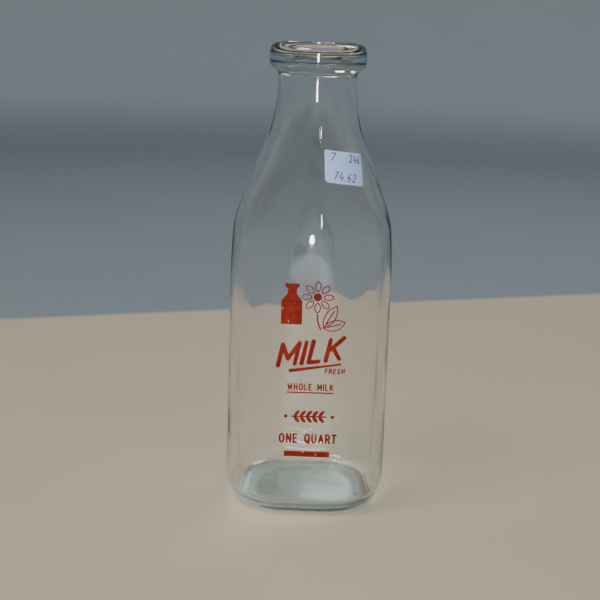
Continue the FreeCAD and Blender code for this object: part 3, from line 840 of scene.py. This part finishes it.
def enamel_material():
    """Fired enamel: orange-red, uneven in depth, with a satin gloss and fine pits."""
    n = Nodes("orange_enamel_fired")
    ink = print_now().ink
    shader = n.surface(IOR=1.5, Specular_IOR_Level=0.14)
    cloud = n.ramp(n.noise(130, 5.0, 0.65), 0.32, 0.68, 0.0, 1.0)
    n.link(n.mix(cloud, scaled(ink, 0.78), scaled(ink, 1.3, 0.004)), shader.inputs["Base Color"])
    n.link(n.ramp(n.noise(900, 4.0, 0.6), 0.3, 0.7, 0.28, 0.5), shader.inputs["Roughness"])
    n.link(n.bump(n.noise(2600, 3.0, 0.6), 0.25, 0.00006), shader.inputs["Normal"])
    return n.done(shader)


def paper_material():
    """Matt white paper with faint fibres and a little grime."""
    n = Nodes("white_paper_label")
    paper = tuple(sticker_now().paper_colour)
    shader = n.surface(IOR=1.45)
    grime = n.ramp(n.noise(180, 6.0, 0.65), 0.5, 0.8, 0.0, 1.0)
    n.link(n.mix(grime, paper, tuple(c * f for c, f in zip(paper, (0.84, 0.83, 0.78)))),
           shader.inputs["Base Color"])
    fibres = n.noise(1500, 4.0, 0.6, (1, 1, 2.4))
    n.link(n.ramp(fibres, 0.3, 0.7, 0.72, 0.92), shader.inputs["Roughness"])
    n.link(n.bump(fibres, 0.4, 0.00005), shader.inputs["Normal"])
    return n.done(shader)


def pen_material():
    """Purple pen ink, darker where the stroke was pressed."""
    n = Nodes("purple_pen_ink")
    pen = tuple(sticker_now().pen_colour)
    shader = n.surface(IOR=1.45)
    pressed = n.ramp(n.noise(700, 4.0, 0.6), 0.35, 0.65, 0.0, 1.0)
    n.link(n.mix(pressed, pen, scaled(pen, 1.8, 0.02)), shader.inputs["Base Color"])
    n.link(n.ramp(pressed, 0.0, 1.0, 0.45, 0.7), shader.inputs["Roughness"])
    return n.done(shader)


def floor_material():
    """A plain pale table top with a cool backdrop beyond it."""
    n = Nodes("stage_floor")
    stage = bpy.context.scene.milk_bottle_stage
    shader = n.surface(IOR=1.45)
    askew = n.node("ShaderNodeMapping")
    askew.inputs["Rotation"].default_value = (0.0, 0.0, -stage.table_turn)
    n.link(n.place, askew.inputs["Vector"])
    apart = n.node("ShaderNodeSeparateXYZ")
    n.link(askew.outputs["Vector"], apart.inputs["Vector"])
    x, y = (n.maths("ABSOLUTE", apart.outputs[axis], 0.0) for axis in "XY")
    edge = stage.table_depth
    away = n.maths("MAXIMUM", n.maths("MULTIPLY", x, edge / stage.table_width), y)
    backdrop = n.mix(n.ramp(apart.outputs["Z"], 0.0, 0.09, 0.0, 1.0),
                     scaled(stage.far_floor, 0.8), scaled(stage.far_floor, 1.2))
    n.link(n.mix(n.ramp(away, edge - 0.005, edge + 0.009, 0.0, 1.0), tuple(stage.near_floor), backdrop),
           shader.inputs["Base Color"])
    n.link(n.ramp(n.noise(9, 3.0), 0.3, 0.7, 0.55, 0.7), shader.inputs["Roughness"])
    return n.done(shader)


# ---------------------------------------------------------------- operators


def on_print(x, z, proud):
    """Lays the print on the front. x is from the print's middle and z above the table, in mm."""
    across = x * MM + print_now().middle
    height = z * MM
    return off_glass(facing_theta(across, height), height, proud)


def enamel_piece(part, drawing):
    piece = build_sheet("print_" + part, drawing, 0.2, print_now().thickness, on_print)
    settle(piece, "enamel_" + part, enamel_material())


class MILKBOTTLE_OT_glass(bpy.types.Operator):
    """Blow the glass: one closed skin with lip, neck, shoulder, square body and thick base"""

    bl_idname = "milk_bottle.glass"
    bl_label = "Glass"

    def execute(self, context):
        settle(build_glass(), "bottle_glass", glass_material())
        return {"FINISHED"}


class MILKBOTTLE_OT_emblem(bpy.types.Operator):
    """Print the emblem: a churn, a daisy with its stem, and two leaves"""

    bl_idname = "milk_bottle.emblem"
    bl_label = "Emblem"

    def execute(self, context):
        line = print_now().line / MM
        churn = Drawing(seed=1.0)
        churn.polygon([(-17.0, 112.0), (-17.0, 125.0), (-13.8, 129.0), (-13.8, 131.6),
                       (-15.2, 133.2), (-15.2, 134.6), (-7.4, 134.6), (-7.4, 133.2),
                       (-8.8, 131.6), (-8.8, 129.0), (-5.6, 125.0), (-5.6, 112.0)])
        churn.worn(9)
        enamel_piece("churn", churn)

        heart, reach = np.array((2.6, 127.4)), 9.0
        petals = Drawing(seed=2.0)
        for i in range(8):
            angle = math.radians(45 * i)
            way = np.array((math.sin(angle), math.cos(angle)))
            petals.petal(heart + way * 2.9, heart + way * reach, 3.6, line)
        enamel_piece("petals", petals)

        eye = Drawing(seed=3.0)
        eye.disc(heart, 2.2)
        enamel_piece("flower_eye", eye)

        stem = Drawing(seed=4.0)
        stem.line(smooth_path([(4.6, 109.6), (3.0, 113.8), (2.6, 117.6)]), 1.5 * line)
        enamel_piece("stem", stem)

        leaves = Drawing(seed=5.0)
        foot = np.array((6.0, 110.2))
        for tip in (np.array((13.4, 123.0)), np.array((18.0, 113.6))):
            leaves.petal(foot, tip, 6.2, line)
            leaves.line([foot + (tip - foot) * 0.2, foot + (tip - foot) * 0.78], line)
        enamel_piece("leaves", leaves)
        return {"FINISHED"}


class MILKBOTTLE_OT_big_word(bpy.types.Operator):
    """Print the large slanted word and the tapering line under it"""

    bl_idname = "milk_bottle.big_word"
    bl_label = "Large word"

    def execute(self, context):
        word = Drawing(seed=6.0)
        word.words("MILK", (-0.2, 96.8), 11.5, 33.0, 2.5, lean=12, climb=8, taper=0.85)
        word.worn(22)
        enamel_piece("big_word", word)
        under = Drawing(seed=7.0)
        under.polygon([(-12.0, 86.8), (16.5, 90.9), (16.6, 89.9), (-11.8, 84.9)])
        enamel_piece("big_underline", under)
        return {"FINISHED"}


class MILKBOTTLE_OT_small_lines(bpy.types.Operator):
    """Print the small words, their rule, the sprig and its marks, and the bar"""

    bl_idname = "milk_bottle.small_lines"
    bl_label = "Small lines"

    def execute(self, context):
        line = print_now().line / MM
        small = Drawing(wobble=0.015, seed=8.0)
        small.words("FRESH", (13.2, 86.2), 2.5, 10.4, line, lean=8, gap=0.5)
        enamel_piece("small_word", small)

        middle = Drawing(wobble=0.015, seed=9.0)
        middle.words("WHOLE MILK", (0.2, 76.9), 3.3, 24.6, 1.2 * line, gap=0.52)
        enamel_piece("middle_line", middle)

        rule = Drawing(seed=10.0)
        rule.line([(-12.3, 73.7), (12.6, 73.7)], 1.3 * line)
        enamel_piece("middle_rule", rule)

        sprig = Drawing(wobble=0.02, seed=11.0)
        sprig.line([(-9.6, 60.0), (9.4, 60.0)], 1.4 * line)
        for i in range(5):
            foot = np.array((-8.4 + 3.4 * i, 60.0))
            for side in (-1, 1):
                sprig.leaf(foot, foot + np.array((3.2, 3.6 * side)), 1.9)
        enamel_piece("sprig", sprig)

        marks = Drawing(seed=12.0)
        for x in (-12.8, 12.8):
            marks.disc((x, 60.0), 1.0)
        enamel_piece("marks", marks)

        capacity = Drawing(wobble=0.02, seed=13.0)
        capacity.words("ONE QUART", (-0.4, 47.3), 4.6, 31.0, 1.0, gap=0.52)
        enamel_piece("capacity_line", capacity)

        bar = Drawing(seed=14.0)
        bar.polygon([(-13.2, 36.7), (-13.2, 39.9), (11.8, 39.9), (11.8, 36.7)])
        bar.worn(7)
        enamel_piece("bar", bar)
        return {"FINISHED"}


class MILKBOTTLE_OT_sticker(bpy.types.Operator):
    """Stick the paper label on the shoulder and write on it"""

    bl_idname = "milk_bottle.sticker"
    bl_label = "Sticker"

    def execute(self, context):
        s = sticker_now()
        half_w, half_h = s.width / MM / 2, s.height / MM / 2
        paper = Drawing(wobble=0.02, seed=15.0)
        rounds = {(-1, 1): 1.1, (1, 1): 0.7, (1, -1): 0.6, (-1, -1): 2.2}

        def card(p):
            far = np.full(p.shape[:-1], -1e9)
            for (sx, sy), radius in rounds.items():
                x, y = p[..., 0] * sx - half_w + radius, p[..., 1] * sy - half_h + radius
                here = np.hypot(np.maximum(x, 0), np.maximum(y, 0)) - radius
                here += np.minimum(np.maximum(x, y), 0)
                far = np.where((p[..., 0] * sx >= 0) & (p[..., 1] * sy >= 0), here, far)
            return far
        paper.add(card, [(-half_w, -half_h), (half_w, half_h)])

        def on_shoulder(x, y, proud, lift=0.0):
            turned_x = x * math.cos(s.twist) - y * math.sin(s.twist)
            turned_y = x * math.sin(s.twist) + y * math.cos(s.twist)
            z = s.level + turned_y * MM * math.cos(glass_now().shoulder_angle)
            theta = s.turn + turned_x * MM / turned_radius(z)
            return off_glass(theta, z, proud + lift)

        piece = build_sheet("sticker_paper_sheet", paper, 0.4, s.paper, on_shoulder)
        settle(piece, "sticker_paper", paper_material())

        pen = Drawing(wobble=0.02, seed=16.0)
        width = s.pen / MM
        pen.words("7", (-7.4, 5.6), 4.4, 2.8, width, lean=10)
        pen.words("246", (6.4, 5.7), 4.2, 7.4, width, lean=6, climb=-1)
        pen.words("74.62", (-0.2, -4.9), 4.4, 13.2, width, lean=14, climb=-3)
        on_paper = build_sheet("sticker_pen_marks", pen, 0.12, 0.03 * MM,
                               lambda x, y, proud: on_shoulder(x, y, proud, s.paper))
        settle(on_paper, "sticker_ink", pen_material())
        return {"FINISHED"}


class MILKBOTTLE_OT_stage(bpy.types.Operator):
    """Set the floor, the lights and the camera"""

    bl_idname = "milk_bottle.stage"
    bl_label = "Stage"

    def execute(self, context):
        stage = context.scene.milk_bottle_stage
        self.floor(context)
        self.lights(context)
        camera_data = bpy.data.cameras.new("camera")
        camera_data.lens = stage.lens
        camera_data.sensor_width = 36.0
        camera_data.clip_end = 20.0
        camera = bpy.data.objects.new("camera", camera_data)
        context.scene.collection.objects.link(camera)
        ahead = Vector((-math.sin(stage.pan) * math.cos(stage.pitch),
                        math.cos(stage.pan) * math.cos(stage.pitch), -math.sin(stage.pitch)))
        right = Vector((math.cos(stage.pan), math.sin(stage.pan), 0.0))
        up = right.cross(ahead)
        rolled_right = right * math.cos(stage.roll) + up * math.sin(stage.roll)
        rolled_up = up * math.cos(stage.roll) - right * math.sin(stage.roll)
        turned = Matrix((rolled_right, rolled_up, -ahead)).transposed().to_4x4()
        camera.matrix_world = Matrix.Translation((0, -stage.distance, stage.camera_height)) @ turned
        context.scene.camera = camera
        return {"FINISHED"}

    def floor(self, context):
        """A round floor that curves up into a wall all round."""
        flat, cove, wall = 1.7, 0.5, 2.2
        low = -0.1 * MM
        profile = [(flat * share, low) for share in (0.05, 0.2, 0.35, 0.6, 0.85)]
        profile += [(flat + cove * math.sin(a), low + cove * (1 - math.cos(a)))
                    for a in arc(0, 90, 12)]
        profile += [(flat + cove, cove), (flat + cove, wall)]
        mesh = bmesh.new()
        sides = 96
        rings = []
        for radius, z in profile:
            rings.append([mesh.verts.new((radius * math.cos(2 * math.pi * i / sides),
                                          radius * math.sin(2 * math.pi * i / sides), z))
                          for i in range(sides)])
        mesh.faces.new(rings[0])
        skin(mesh, rings)
        floor = finished(mesh, "stage_floor")
        floor.data.materials.append(floor_material())

    def lights(self, context):
        """A large soft key, two upright strips for the streaks on the glass, and a lamp behind."""
        lamps = [
            # name, place, aim, width, height, watts, colour
            ("key", (-0.75, -0.65, 1.65), (0, 0, 0.1), 0.8, 0.6, 26.0, (1.0, 0.98, 0.95)),
            ("neck_strip", (0.0, -1.35, 0.275), (0, 0, 0.24), 0.085, 0.25, 7.0, (1.0, 1.0, 1.0)),
            ("shoulder_strip", (0.34, -1.35, 0.875), (0, 0, 0.2), 0.05, 0.2, 0.9, (0.95, 0.98, 1.0)),
            ("back", (0.6, 1.2, 1.5), (0, 0, 0.1), 0.7, 0.5, 10.0, (0.93, 0.96, 1.0)),
        ]
        for name, place, aim, width, height, watts, tone in lamps:
            data = bpy.data.lights.new(name, "AREA")
            data.shape = "RECTANGLE"
            data.size, data.size_y = width, height
            data.energy = watts
            data.color = tone
            lamp = bpy.data.objects.new(name, data)
            context.scene.collection.objects.link(lamp)
            lamp.location = place
            lamp.rotation_euler = (Vector(aim) - Vector(place)).to_track_quat("-Z", "Y").to_euler()
        world = bpy.data.worlds.new("soft_room")
        world.use_nodes = True
        glow = world.node_tree.nodes["Background"]
        glow.inputs["Color"].default_value = (0.80, 0.87, 0.93, 1.0)
        glow.inputs["Strength"].default_value = 0.42
        context.scene.world = world


class MILKBOTTLE_PT_panel(bpy.types.Panel):
    """Lists the bottle's pieces in the order they are made"""

    bl_label = "Milk Bottle"
    bl_idname = "MILKBOTTLE_PT_panel"
    bl_space_type = "VIEW_3D"
    bl_region_type = "UI"
    bl_category = "Milk Bottle"

    def draw(self, context):
        for operator in OPERATORS:
            self.layout.operator(operator.bl_idname)


OPERATORS = (MILKBOTTLE_OT_stage, MILKBOTTLE_OT_glass, MILKBOTTLE_OT_emblem,
             MILKBOTTLE_OT_big_word, MILKBOTTLE_OT_small_lines, MILKBOTTLE_OT_sticker)
SETTINGS = {"milk_bottle_glass": GlassSettings, "milk_bottle_print": PrintSettings,
            "milk_bottle_sticker": StickerSettings, "milk_bottle_stage": StageSettings}


def register():
    for group in (*SETTINGS.values(), *OPERATORS, MILKBOTTLE_PT_panel):
        bpy.utils.register_class(group)
    for name, group in SETTINGS.items():
        setattr(bpy.types.Scene, name, bpy.props.PointerProperty(type=group))


def unregister():
    for name in SETTINGS:
        delattr(bpy.types.Scene, name)
    for group in (MILKBOTTLE_PT_panel, *reversed(OPERATORS), *reversed(SETTINGS.values())):
        bpy.utils.unregister_class(group)


def main():
    register()
    bpy.ops.milk_bottle.stage()
    bpy.ops.milk_bottle.glass()
    bpy.ops.milk_bottle.emblem()
    bpy.ops.milk_bottle.big_word()
    bpy.ops.milk_bottle.small_lines()
    bpy.ops.milk_bottle.sticker()
    bpy.context.view_layer.update()


if __name__ == "__main__":
    main()
